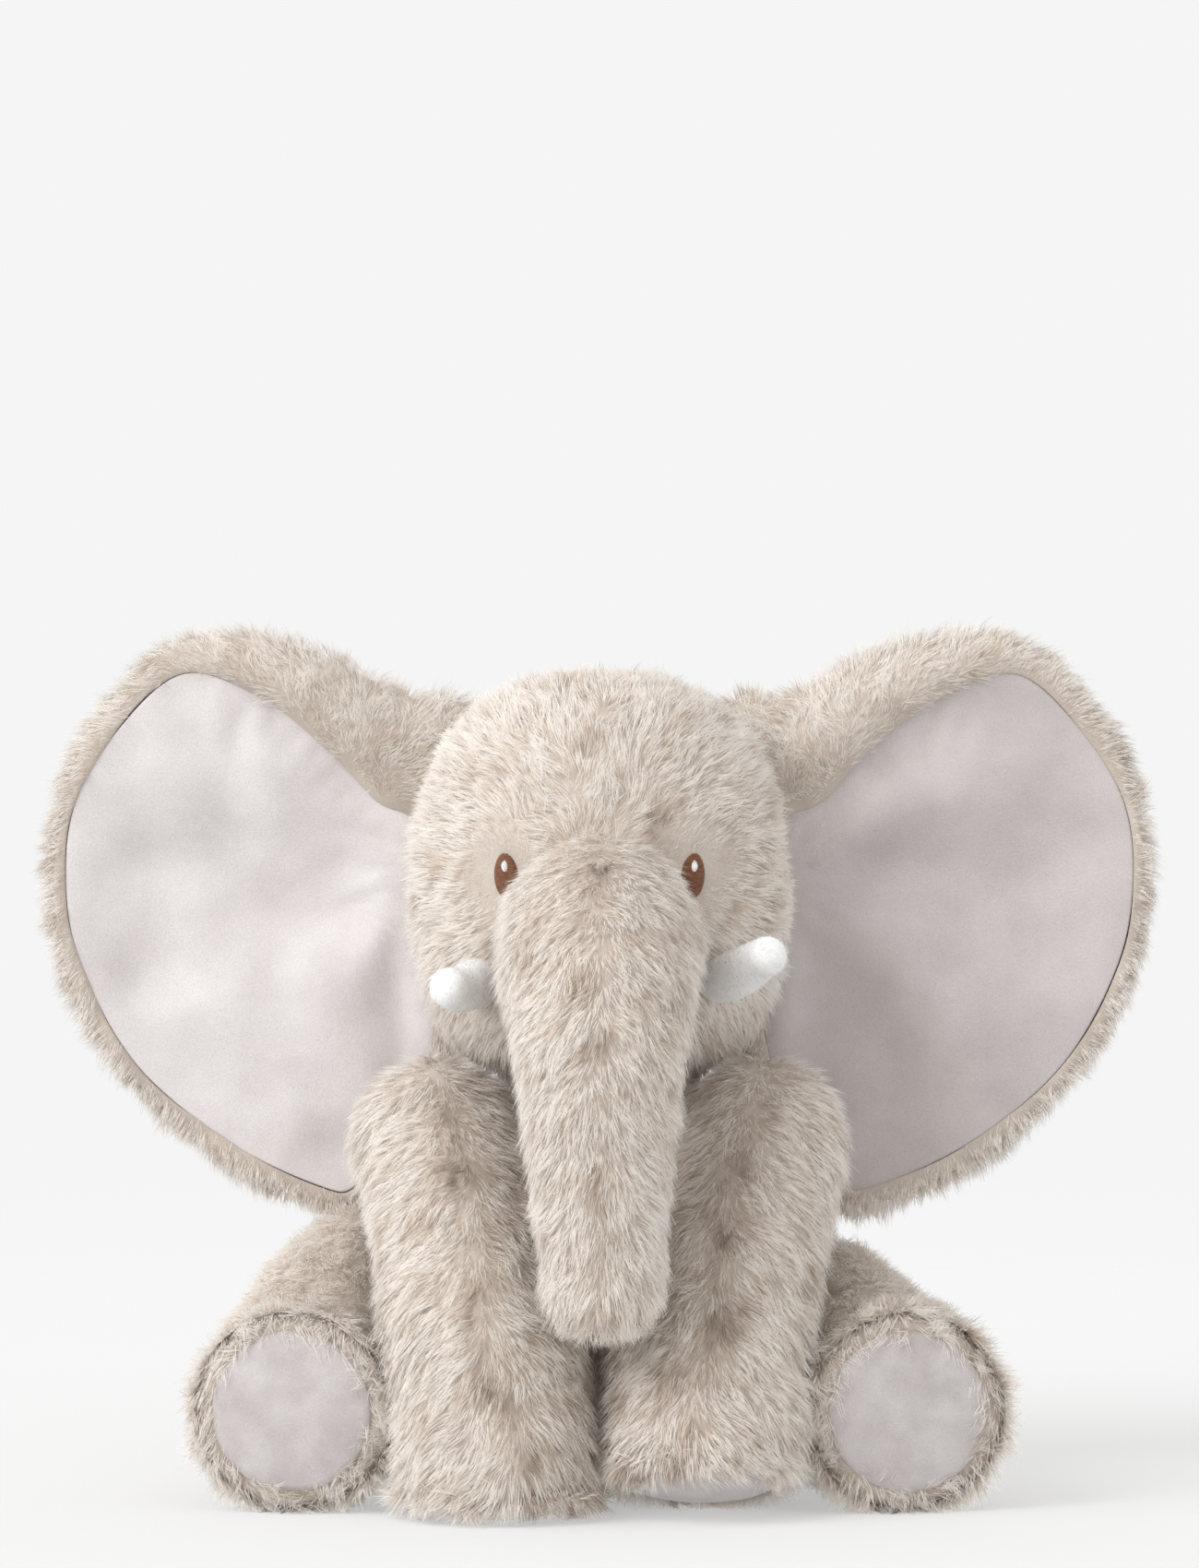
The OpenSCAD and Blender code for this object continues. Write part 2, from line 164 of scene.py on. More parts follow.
def normals_of(obj):
    no = np.zeros(len(obj.data.vertices) * 3, np.float32)
    obj.data.vertex_normals.foreach_get("vector", no)
    return no.reshape(-1, 3).astype(float)


AROUND = 72


def shell(name, rings, first, last, ref):
    """A closed soft shell. A ring is (centre, direction, half width, half depth)."""
    verts = [first]
    angles = np.linspace(0, 2 * math.pi, AROUND, endpoint=False)[:, None]
    for centre, way, a, b in rings:
        u = unit(np.cross(way, ref))
        v = np.cross(way, u)
        verts.extend(centre + u * a * np.cos(angles) + v * b * np.sin(angles))
    verts.append(last)
    n = len(rings)

    def spot(i, k):
        return 1 + i * AROUND + k % AROUND

    faces = [(0, spot(0, k), spot(0, k + 1)) for k in range(AROUND)]
    faces += [(spot(i, k), spot(i + 1, k), spot(i + 1, k + 1), spot(i, k + 1))
              for i in range(n - 1) for k in range(AROUND)]
    faces += [(len(verts) - 1, spot(n - 1, k + 1), spot(n - 1, k)) for k in range(AROUND)]
    return make_mesh(name, verts, [f[::-1] for f in faces])


CAP = 9


def limb(name, ball_r, paths, sizes, steps, ref, flat_edge=0.0):
    """A limb that grows out of a ball, follows its curves and ends round or flat."""
    paths = [np.asarray(p, float) for p in paths]
    start, way = bezier_way(paths[0], 0.0), bezier_way(paths[-1], 1.0)
    root, end = paths[0][0], paths[-1][3]
    tip = row_at(sizes, 1.0)
    rings = []
    for i in range(1, CAP + 1):
        a = math.pi / 2 * i / CAP
        r = ball_r * math.sin(a)
        rings.append((root - start * ball_r * math.cos(a), start, r, r))
    for i in range(1, steps + 1):
        t = i / (steps + 0.5)
        j = min(int(t * len(paths)), len(paths) - 1)
        s = row_at(sizes, t)
        u = t * len(paths) - j
        rings.append((bezier(paths[j], u), bezier_way(paths[j], u), s[1], s[2]))
    edge = flat_edge or tip[1]
    for i in range(CAP + 1 if flat_edge else CAP):
        a = math.pi / 2 * i / CAP
        x = edge * (math.sin(a) - 1) if flat_edge else edge * math.sin(a)
        less = edge * (1 - math.cos(a))
        depth = tip[2] - less if flat_edge else tip[2] * math.cos(a)
        rings.append((end + way * x, way, tip[1] - less, depth))
    last = end + way * (0 if flat_edge else edge)
    return shell(name, rings, root - start * ball_r, last, ref)


def upright(name, node, table, half_w, half_d, y, steps):
    """An upright soft body, as tall as its CAD node. Rows are [share, half width, half depth, lean]."""
    lo, hi = (np.array(c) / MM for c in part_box(node))
    rings = []
    for i in range(steps + 1):
        t = (1 - math.cos(math.pi * i / steps)) / 2
        s = row_at(table, t)
        lean = s[3] if len(s) > 3 else 0
        centre = at(0, y + lean, 0)
        centre[2] = lo[2] + (hi[2] - lo[2]) * t
        rings.append((centre, UP, max(s[1] * half_w, 2), max(s[2] * half_d, 2)))
    return shell(name, rings, rings[0][0], rings[-1][0], FRONT)


def stuffed(obj, wavelength, swell, seed):
    """Pushes a skin out and in a little, as uneven stuffing does."""
    co = verts_of(obj)
    set_verts(obj, co + normals_of(obj) * (ripples(co, wavelength, seed) * swell)[:, None])


# ---------------------------------------------------------------- materials


def material(name):
    mat = bpy.data.materials.new(name)
    mat.use_nodes = True
    nodes = mat.node_tree.nodes
    shader = nodes["Principled BSDF"]
    return mat, mat.node_tree, shader


def node(tree, kind, **values):
    made = tree.nodes.new(kind)
    for key, value in values.items():
        setattr(made, key, value)
    return made


def noise(tree, scale, detail=2.0, stretch=None):
    """A noise texture in object space, scale in waves per metre."""
    place = node(tree, "ShaderNodeTexCoord")
    made = node(tree, "ShaderNodeTexNoise")
    made.inputs["Scale"].default_value = scale
    made.inputs["Detail"].default_value = detail
    if stretch:
        mapping = node(tree, "ShaderNodeMapping")
        mapping.inputs["Scale"].default_value = stretch
        tree.links.new(place.outputs["Object"], mapping.inputs["Vector"])
        tree.links.new(mapping.outputs["Vector"], made.inputs["Vector"])
    else:
        tree.links.new(place.outputs["Object"], made.inputs["Vector"])
    return made.outputs["Fac"]


def ramp(tree, source, stops):
    made = node(tree, "ShaderNodeValToRGB")
    elements = made.color_ramp.elements
    while len(elements) < len(stops):
        elements.new(0.5)
    for element, (where, colour) in zip(elements, stops):
        element.position = where
        element.color = (*colour, 1)
    tree.links.new(source, made.inputs["Fac"])
    return made.outputs["Color"]


def mix(tree, kind, amount, a, b):
    made = node(tree, "ShaderNodeMix", data_type="RGBA", blend_type=kind)
    for socket, value in ((made.inputs["Factor"], amount), (made.inputs["A"], a), (made.inputs["B"], b)):
        if isinstance(value, bpy.types.NodeSocket):
            tree.links.new(value, socket)
        else:
            socket.default_value = value
    return made.outputs["Result"]


def bump(tree, shader, heights, strength, distance):
    made = node(tree, "ShaderNodeBump")
    made.inputs["Strength"].default_value = strength
    made.inputs["Distance"].default_value = distance
    tree.links.new(heights, made.inputs["Height"])
    tree.links.new(made.outputs["Normal"], shader.inputs["Normal"])


def srgb(r, g, b):
    return tuple((c / 255 / 12.92) if c <= 10 else ((c / 255 + 0.055) / 1.055) ** 2.4 for c in (r, g, b))


def fur_material(name, root, middle, tip, dark, warm, glow):
    """Strands dark at the root and pale at the tip, some clumps warmer than others, and painted shade in the
    partings and hollows.
    """
    mat, tree, shader = material(name)
    along = node(tree, "ShaderNodeAttribute", attribute_name="along").outputs["Fac"]
    shade = node(tree, "ShaderNodeAttribute", attribute_name="shade").outputs["Fac"]
    colour = ramp(tree, along, [(0.0, root), (0.5, middle), (1.0, tip)])
    # The tint's darkest end is painted shade, reached where partings and hollows are darkened; darker random
    # clumps lean toward it too.
    tint = ramp(tree, shade, [(0.0, dark), (0.3, warm), (0.6, (1, 1, 1))])
    colour = mix(tree, "MULTIPLY", 1.0, colour, tint)
    tree.links.new(colour, shader.inputs["Base Color"])
    shader.inputs["Roughness"].default_value = 0.75
    shader.inputs["Specular IOR Level"].default_value = 0.25
    shader.inputs["Sheen Weight"].default_value = 0.25
    shader.inputs["Sheen Roughness"].default_value = 0.5
    through_light = node(tree, "ShaderNodeBsdfTranslucent")
    tree.links.new(colour, through_light.inputs["Color"])
    both = node(tree, "ShaderNodeMixShader")
    both.inputs["Fac"].default_value = glow
    out = tree.nodes["Material Output"]
    tree.links.new(shader.outputs["BSDF"], both.inputs[1])
    tree.links.new(through_light.outputs["BSDF"], both.inputs[2])
    tree.links.new(both.outputs["Shader"], out.inputs["Surface"])
    return mat


def cloth_material(name, low, high, grain, nap, roughness=0.9, sheen=0.4, stretch=None):
    """Plain cloth: a two-tone drift of colour, and a nap or weave in its bump."""
    mat, tree, shader = material(name)
    drift = ramp(tree, noise(tree, grain, 3, stretch), [(0.3, low), (0.7, high)])
    fine = ramp(tree, noise(tree, nap, 2), [(0.3, (0.86,) * 3), (0.7, (1, 1, 1))])
    tree.links.new(mix(tree, "MULTIPLY", 1.0, drift, fine), shader.inputs["Base Color"])
    shader.inputs["Roughness"].default_value = roughness
    shader.inputs["Specular IOR Level"].default_value = 0.2
    shader.inputs["Sheen Weight"].default_value = sheen
    shader.inputs["Sheen Roughness"].default_value = 0.4
    bump(tree, shader, noise(tree, nap, 3), 0.35, 0.0006)
    return mat


# The fifth colour, the darkest tint, is the painted shade of partings and hollows.
FUR = fur_material("long_pile", srgb(221, 210, 199), srgb(251, 246, 240), srgb(255, 254, 252),
                   srgb(164, 149, 137), srgb(233, 225, 217), 0.45)
TUSK_PILE = fur_material("white_pile", srgb(240, 239, 237), srgb(252, 252, 251), srgb(255, 255, 255),
                         srgb(240, 240, 238), srgb(252, 252, 251), 0.5)
BACKING = cloth_material("knitted_backing", srgb(190, 178, 167), srgb(208, 197, 186), 60, 1400)
# The two ear linings are one velour in a lit and a shaded copy, each matched to how bright that lining shows:
# the left lining's darker colour is painted shade, the right lining's paler colour painted light.
VELOUR = {
    "right": cloth_material("velour", srgb(216, 210, 209), srgb(233, 228, 227), 35, 1800, 0.85, 0.6),
    "left": cloth_material("velour_painted_shade", srgb(193, 186, 184), srgb(208, 201, 199), 35, 1800, 0.85, 0.5),
}
SOLE_VELOUR = cloth_material("sole_velour", srgb(188, 181, 180), srgb(204, 198, 196), 90, 1800, 0.85, 0.5)
WHITE_PLUSH = cloth_material("white_plush", srgb(246, 246, 245), srgb(254, 254, 254), 60, 1500)
FIBRE = cloth_material("fibre", srgb(232, 232, 228), srgb(250, 250, 248), 120, 700)
POUCH = cloth_material("pouch_cloth", srgb(222, 218, 210), srgb(236, 232, 226), 200, 2500)
PELLETS = cloth_material("pellets", srgb(205, 210, 214), srgb(228, 230, 232), 300, 500, 0.4, 0.0)
BROWN = cloth_material("brown_thread", srgb(96, 60, 42), srgb(146, 100, 72), 500, 2600, 0.5, 0.3, (1, 1, 6))
WHITE = cloth_material("white_thread", srgb(235, 235, 235), srgb(252, 252, 252), 500, 2600, 0.5, 0.3)


def dress(obj, mat):
    obj.data.materials.clear()
    obj.data.materials.append(mat)


# ---------------------------------------------------------------- fur


FUR_COUNT = [0]


def scatter(obj, per_mm2, rng, faces):
    """Even random places on a skin, or on its first few faces: (points in mm, normals)."""
    mesh = obj.data
    mesh.calc_loop_triangles()
    tri = np.zeros(len(mesh.loop_triangles) * 3, np.int32)
    mesh.loop_triangles.foreach_get("vertices", tri)
    of_face = np.zeros(len(mesh.loop_triangles), np.int32)
    mesh.loop_triangles.foreach_get("polygon_index", of_face)
    tri = tri.reshape(-1, 3)[of_face < (faces or len(mesh.polygons))]
    co, no = verts_of(obj), normals_of(obj)
    a, b, c = co[tri[:, 0]], co[tri[:, 1]], co[tri[:, 2]]
    area = np.linalg.norm(np.cross(b - a, c - a), axis=1) / 2
    count = np.floor(area * per_mm2 + rng.random(len(area))).astype(int)
    which = np.repeat(np.arange(len(area)), count)
    u, v = rng.random(len(which)), rng.random(len(which))
    over = u + v > 1
    u[over], v[over] = 1 - u[over], 1 - v[over]
    w = 1 - u - v
    t = tri[which]
    p = co[t[:, 0]] * w[:, None] + co[t[:, 1]] * u[:, None] + co[t[:, 2]] * v[:, None]
    n = unit(no[t[:, 0]] * w[:, None] + no[t[:, 1]] * u[:, None] + no[t[:, 2]] * v[:, None])
    return p, n


def outside(points, others, margin):
    """True where a point isn't inside another skin by more than margin mm."""
    keep = np.ones(len(points), bool)
    for other in others:
        co = verts_of(other)
        lo, hi = co.min(0) + margin, co.max(0) - margin
        near = np.nonzero(keep & np.all((points > lo) & (points < hi), axis=1))[0]
        if not len(near):
            continue
        other_faces = [tuple(p.vertices) for p in other.data.polygons]
        tree = BVHTree.FromPolygons([tuple(v) for v in co], other_faces)
        for i in near:
            spot, normal, _, _ = tree.find_nearest(Vector(points[i]))
            if (Vector(points[i]) - spot).dot(normal) < -margin:
                keep[i] = False
    return keep


STRANDS = 5         # strands in a tuft
FLOOR = 0.4         # strands lie on the floor, not through it


def fur(name, skin, per_mm2, length, flow, lean, mat=None, hidden_by=(), trim=None, width=0.27,
        spread=1.1, pull=0.4, painted_shade=None, faces=None):
    """Grows tufts of strands on a skin, as one mesh of thin leaves.

    length is in mm. flow(p, n) gives the way the pile lies, and trim(p, n) a share of the length.
    lean is the tuft's angle from the normal, in degrees, or a function of (p, n) that gives it.
    The painted shade, a function of p, says how much darker a place is painted, from 0 to 1, for the shade in
    partings and hollows. faces limits the pile to the skin's first faces.
    """
    rng = np.random.default_rng(7000 + FUR_COUNT[0])
    FUR_COUNT[0] += 1
    p, n = scatter(skin, per_mm2 / STRANDS, rng, faces)
    share = trim(p, n) if trim else np.ones(len(p))
    keep = share > 0.08
    p, n, share = p[keep], n[keep], share[keep]
    keep = outside(p, hidden_by, 1.5)
    p, n, share = p[keep], n[keep], share[keep]

    f = flow(p, n)
    swirl = np.stack([ripples(p, 16, 31), ripples(p, 16, 32), ripples(p, 16, 33)], axis=1)
    f = f + swirl * 0.45 + rng.normal(size=p.shape) * 0.16
    f = unit(f - n * dot(f, n))
    tilt = lean(p, n) if callable(lean) else lean
    angle = np.radians(tilt + 8 * ripples(p, 9, 41) + rng.normal(size=len(p)) * 9)[:, None]
    angle = np.clip(angle, math.radians(8), math.radians(84))
    first = n * np.cos(angle) + f * np.sin(angle)
    later = unit(first * 0.75 + f * 0.5 - UP * 0.12)
    size = (length * share * rng.uniform(0.8, 1.15, len(p)) * (1 + 0.12 * ripples(p, 24, 51)))[:, None]
    tuft_mid = p + first * size * 0.5
    tuft_tip = tuft_mid + later * size * 0.5
    shade = 0.68 + 0.22 * ripples(p, 13, 61) + rng.normal(size=len(p)) * 0.14
    # Painted shade is taken off the clumps' random tone, to darken partings and hollows.
    shade = np.clip(shade - (painted_shade(p) if painted_shade else 0), 0.0, 1.0)

    i = np.repeat(np.arange(len(p)), STRANDS)
    m = len(i)
    side_way = np.cross(n, f)
    off = (side_way[i] * rng.normal(size=(m, 1)) + f[i] * rng.normal(size=(m, 1))) * spread
    root = p[i] + off - n[i] * 0.8
    reach = rng.uniform(0.72, 1.06, m)[:, None]
    stray = rng.normal(size=(m, 3)) * size[i] * 0.05
    mid = root + (tuft_mid[i] - p[i]) * reach - off * pull * 0.35 + stray * 0.5
    tip = root + (tuft_tip[i] - p[i]) * reach - off * pull + stray
    way = unit(tip - root)
    twist = rng.normal(size=(m, 1)) * 0.5
    across = unit(np.cross(way, n[i]))
    across = unit(across * np.cos(twist) + np.cross(way, across) * np.sin(twist))
    half = across * (width * rng.uniform(0.7, 1.25, m) * np.clip(share[i], 0.5, 1) / 2)[:, None]
    verts = np.stack([root, mid - half, mid + half, tip], axis=1)
    verts[:, :, 2] = np.maximum(verts[:, :, 2], FLOOR)
    verts = verts.reshape(-1, 3)
    blade = np.cross(way, across)
    flip = (dot(blade, n[i]) < 0)[:, 0]
    blade[flip] *= -1
    facing = n[i] * 0.75 + blade * 0.5

    base = np.arange(m) * 4
    quads = np.stack([base, base + 1, base + 3, base + 2], axis=1)
    quads[flip] = quads[flip][:, ::-1]
    mesh = bpy.data.meshes.new(name)
    mesh.vertices.add(m * 4)
    mesh.vertices.foreach_set("co", (verts * MM).astype(np.float32).ravel())
    mesh.loops.add(m * 4)
    mesh.loops.foreach_set("vertex_index", quads.astype(np.int32).ravel())
    mesh.polygons.add(m)
    mesh.polygons.foreach_set("loop_start", (np.arange(m) * 4).astype(np.int32))
    mesh.update(calc_edges=True)
    mesh.shade_smooth()
    values = {"along": np.tile([0.0, 0.5, 0.5, 1.0], m), "shade": np.repeat(shade[i], 4)}
    for key, value in values.items():
        mesh.attributes.new(key, "FLOAT", "POINT").data.foreach_set("value", value.astype(np.float32))
    uv = mesh.uv_layers.new(name="OFBake")
    lane = 0.05 + 0.9 * shade[i]
    u = np.stack([lane - 0.004, lane - 0.004, lane + 0.004, lane + 0.004], axis=1)
    v = np.tile([0.03, 0.5, 0.97, 0.5], (m, 1))
    uv_all = np.stack([u, v], axis=2)
    uv_all[flip] = uv_all[flip][:, ::-1]
    uv.data.foreach_set("uv", uv_all.astype(np.float32).ravel())
    smooth_normals = unit(np.repeat(facing, 4, axis=0)).astype(np.float32)
    mesh.normals_split_custom_set_from_vertices(smooth_normals)
    obj = bpy.data.objects.new(name, mesh)
    bpy.context.scene.collection.objects.link(obj)
    dress(obj, mat or FUR)
    print(name, "strands", m)
    return obj


# ---------------------------------------------------------------- torso, neck and head

TORSO_TABLE = [
    [0.00, 0.70, 0.72, 13], [0.06, 0.87, 0.88, 12], [0.20, 0.98, 0.99, 12], [0.42, 1.00, 1.00, 12],
    [0.62, 0.93, 0.93, 11], [0.80, 0.77, 0.79, 9], [0.93, 0.57, 0.62, 5], [1.00, 0.40, 0.46, 2]]
HEAD_TABLE = [
    [0.00, 0.54, 0.52], [0.06, 0.76, 0.70], [0.20, 0.94, 0.89], [0.40, 1.00, 0.99], [0.56, 0.99, 1.00],
    [0.70, 0.93, 0.95], [0.83, 0.82, 0.84], [0.93, 0.64, 0.66], [0.98, 0.42, 0.44], [1.00, 0.15, 0.15]]


def half_width(name):
    lo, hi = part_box(name)
    return (hi.x - lo.x) / 2 / MM


torso = upright("torso_fur_skin", "torso_skin", TORSO_TABLE, 84, 68, 0, 56)
head = upright("head_fur_skin", "head_skin", HEAD_TABLE, half_width("head_skin"), 60, -22, 56)
neck = limb("neck_fur_skin", 31, [[at(0, -4, 144), at(0, -4, 145), at(0, -4, 146), at(0, -4, 147)]],
            [[0, 31, 31], [1, 31, 31]], 2, FRONT)

# ---------------------------------------------------------------- trunk

TRUNK_ROOT, TRUNK_BEND = at(0, -90, 200), at(0, -130, 133)
trunk_paths = [[TRUNK_ROOT, at(0, -119, 190), at(0, -131, 170), at(0, -130, 144)],
               [at(0, -130, 144), at(0, -129.5, 124), at(0.5, -129, 105), at(1.5, -130, 85)]]
trunk = limb("trunk_fur_skin", 33, trunk_paths,
             [[0, 33, 32], [0.2, 31.5, 30], [0.4, 27, 26], [0.6, 23.5, 24], [0.8, 21, 21.5], [1, 19.5, 19]],
             44, FRONT + UP * 0.3)

# ---------------------------------------------------------------- legs

SOLE_TILT = math.radians(17)
RAISED = np.array([0, -math.sin(SOLE_TILT), -math.cos(SOLE_TILT)])
SOLE_OUT = 4.5      # how far a domed sole stands off the leg's end
HIND_SOLE_R, FRONT_SOLE_R = 27.5, 24
left_sole = at(35.5, -104, FRONT_SOLE_R * math.sin(SOLE_TILT) + SOLE_OUT)
right_sole = at(35.5, -102, SOLE_OUT)
shoulder = at(57, -46, 125)
upper_leg = shoulder + [-8, -29, -26]
front_paths = {
    "left": [shoulder, upper_leg, left_sole - RAISED * 48, left_sole],
    "right": [shoulder, upper_leg, right_sole + UP * 48, right_sole]}
FRONT_SIZES = [[0, 28, 27], [0.3, 29, 28], [0.65, 32, 29], [0.85, 34, 30], [1, 33, 29]]
hips = {"left": at(64, 6, 50), "right": at(74, 6, 60)}     # the toy sits a little askew
hind_way = unit([0.16, -1, 0.03])
hind_sole = at(107, -92, 35.5)
HIND_SIZES = [[0, 38, 39], [0.3, 35, 39], [0.65, 34.5, 34.5], [0.85, 35.5, 35], [1, 35, 34.5]]
front_legs, hind_legs = {}, {}
for word, side in SIDES:
    front_legs[word] = limb(f"front_leg_fur_skin_{word}", 28, [mirrored(front_paths[word], side)],
                            FRONT_SIZES, 36, FRONT, 8)
    hip = hips[word]
    hind_path = [hip, hip + [20, -31, -6], hind_sole - hind_way * 30, hind_sole]
    hind_legs[word] = limb(f"hind_leg_fur_skin_{word}", 38, [mirrored(hind_path, side)],
                           HIND_SIZES, 30, UP, 9)

# ---------------------------------------------------------------- ears

EAR_OUTLINE = [
    [44, 272], [70, 281.5], [97, 294.5], [126, 302.5], [153, 298], [179.5, 271], [192, 242], [195, 212],
    [189.5, 181], [169.5, 147], [133, 115], [100, 100], [85, 101], [68, 123], [50, 158], [61, 213]]
LINING_OUTLINE = [
    [65, 234], [80, 243.5], [98, 263], [122, 281], [148, 289], [170, 271], [186.5, 245], [190.5, 216],
    [185, 185], [165, 149], [133, 122], [100, 106], [87, 106], [71, 126], [59, 161], [65, 203]]
EAR_MIDDLE = np.array([126.0, 202.0])
EAR_FINE = 9
LINED = 0.87
EAR_DISH, EAR_Y, EAR_THICK = 10, 12, 12
ear_round = closed_curve(EAR_OUTLINE, EAR_FINE)
lining_round = closed_curve(LINING_OUTLINE, EAR_FINE)
EAR_N = len(ear_round)
# Where the fur border is wide, at the ear's upper root, it is rolled forward over the lining.
EAR_ROLL = 7.0
ear_roll = smooth(8, 26, np.linalg.norm(ear_round - lining_round, axis=1))


def ear_spots(side, out, across):
    """A ring of the ear: out is 1 at the lining's border and 2 at the rim, across -1 at the front."""
    beyond = max(out - 1, 0)
    inner = min(out, 1)
    xz = EAR_MIDDLE + (lining_round - EAR_MIDDLE) * inner + (ear_round - lining_round) * beyond
    share = LINED * inner + (1 - LINED) * beyond
    angle = np.arctan2(xz[:, 1] - EAR_MIDDLE[1], xz[:, 0] - EAR_MIDDLE[0])
    wave = share**3 * (1.6 * np.sin(3 * angle + 0.6 + side) + 1.0 * np.sin(7 * angle + 2 * side))
    y = EAR_Y - EAR_DISH * share**2 + across * EAR_THICK / 2 + wave
    y = y - EAR_ROLL * ear_roll * max(-across, 0) * math.sin(math.pi * min(beyond, 1)) ** 0.7
    return np.stack([xz[:, 0] * side, y, xz[:, 1]], axis=1) + SHIFT


def ear_layer(name, side, profile, fine):
    """A sheet layer of the ear, lofted smoothly along its profile of [out, across]."""
    profile = np.asarray(profile, float)
    steps = [profile[0]]
    for i in range(len(profile) - 1):
        rows = [profile[max(i - 1, 0)], profile[i], profile[i + 1], profile[min(i + 2, len(profile) - 1)]]
        steps += [through(*rows, (j + 1) / fine) for j in range(fine)]
    rings = [ear_spots(side, max(s[0], 0), s[1]) for s in steps]
    verts = [rings[0].mean(0)]
    for ring in rings[1:-1]:
        verts.extend(ring)
    verts.append(rings[-1].mean(0))
    n = len(rings) - 2

    def spot(i, k):
        return 1 + i * EAR_N + k % EAR_N

    faces = [(0, spot(0, k + 1), spot(0, k)) for k in range(EAR_N)]
    faces += [(spot(i, k), spot(i, k + 1), spot(i + 1, k + 1), spot(i + 1, k))
              for i in range(n - 1) for k in range(EAR_N)]
    faces += [(len(verts) - 1, spot(n - 1, k), spot(n - 1, k + 1)) for k in range(EAR_N)]
    if side > 0:
        faces = [f[::-1] for f in faces]
    return make_mesh(name, verts, faces)


def ear_folds(co, side):
    """How far broad soft folds, radiating from the ear's root, push a spot backward."""
    from_root = co - (np.array([62 * side, 0, 218]) + SHIFT)
    angle = np.arctan2(from_root[:, 2], from_root[:, 0] * side)
    far = np.hypot(from_root[:, 0], from_root[:, 2])
    broad = np.sin(angle * (4.6 + 0.5 * side) + 2.1 + 0.9 * ripples(co, 80, 5 + side))
    folds = broad * smooth(8, 55, far) * (1 - 0.75 * smooth(85, 125, far)) * 5.0
    pleats = np.sin(angle * 15 + 1.5 * ripples(co, 30, 8)) * smooth(2, 12, far)
    folds += pleats * (1 - smooth(18, 46, far)) * 0.9
    gather = smooth(254, 274, co[:, 2]) * (1 - smooth(120, 150, np.abs(co[:, 0])))
    folds += np.sin(co[:, 0] / 2.6 + ripples(co, 40, 9)) * gather * 1.2 + ripples(co, 24, 15 + side) * 0.5
    edge = np.min(np.linalg.norm(co[:, None, ::2] * [side, 1] - lining_round[None, ::3], axis=2), axis=1)
    return folds * smooth(1, 16, edge)


# An ear's furry cloth: its outer face, from the back round the rim to the front, then its inner face.
OUTER = [[0, 1], [0.6, 1], [1, 0.85], [1.6, 0.6], [2, 0], [1.75, -0.65], [1.08, -0.95]]
INNER = [[1.06, -0.55], [1.5, -0.35], [1.65, 0], [1.1, 0.35], [0.6, 0.5], [0, 0.5]]
BACK_FINE = 4
OUTER_FACES = (len(OUTER) - 1) * BACK_FINE * EAR_N
ear_backs, ear_linings, ear_waddings = {}, {}, {}
for word, side in SIDES:
    ear_backs[word] = ear_layer(f"ear_fur_skin_{word}", side, OUTER + INNER, BACK_FINE)
    ear_linings[word] = ear_layer(f"ear_velour_{word}", side, [
        [0, -0.52], [0.97, -0.52], [1.01, -0.72], [0.98, -0.95], [0.85, -1.1], [0.5, -1.15], [0, -1.1]], 6)
    ear_waddings[word] = ear_layer(f"ear_fibre_{word}", side, [
        [0, 0.4], [0.6, 0.4], [0.96, 0.2], [1.3, 0], [1.1, -0.2], [0.9, -0.38], [0, -0.38]], 3)
    for piece, forward in ((ear_linings[word], 1), (ear_waddings[word], 0)):
        co = verts_of(piece)
        folds = ear_folds(co, side)
        folds = np.maximum(folds, 0) + forward * np.minimum(folds, 0)
        behind = forward * np.maximum(folds, 0)
        co[:, 1] += np.where(normals_of(piece)[:, 1] < -0.3, folds, behind)
        set_verts(piece, co)

# ---------------------------------------------------------------- soft shapes

for seed, (obj, wavelength, swell) in enumerate([
        (torso, 45, 1.2), (head, 40, 1.0), (trunk, 30, 0.8),
        (front_legs["left"], 35, 1.0), (front_legs["right"], 35, 1.0),
        (hind_legs["left"], 35, 0.9), (hind_legs["right"], 35, 0.9),
        (ear_backs["left"], 40, 0.5), (ear_backs["right"], 40, 0.5)]):
    stuffed(obj, wavelength, swell, 100 + seed)
for obj in (torso, head, trunk, neck, *front_legs.values(), *hind_legs.values(), *ear_backs.values()):
    co = verts_of(obj)
    co[:, 2] = np.maximum(co[:, 2], 1.2)
    set_verts(obj, co)
    dress(obj, BACKING)
for word, _ in SIDES:
    dress(ear_linings[word], VELOUR[word])
    dress(ear_waddings[word], FIBRE)

# ---------------------------------------------------------------- soles


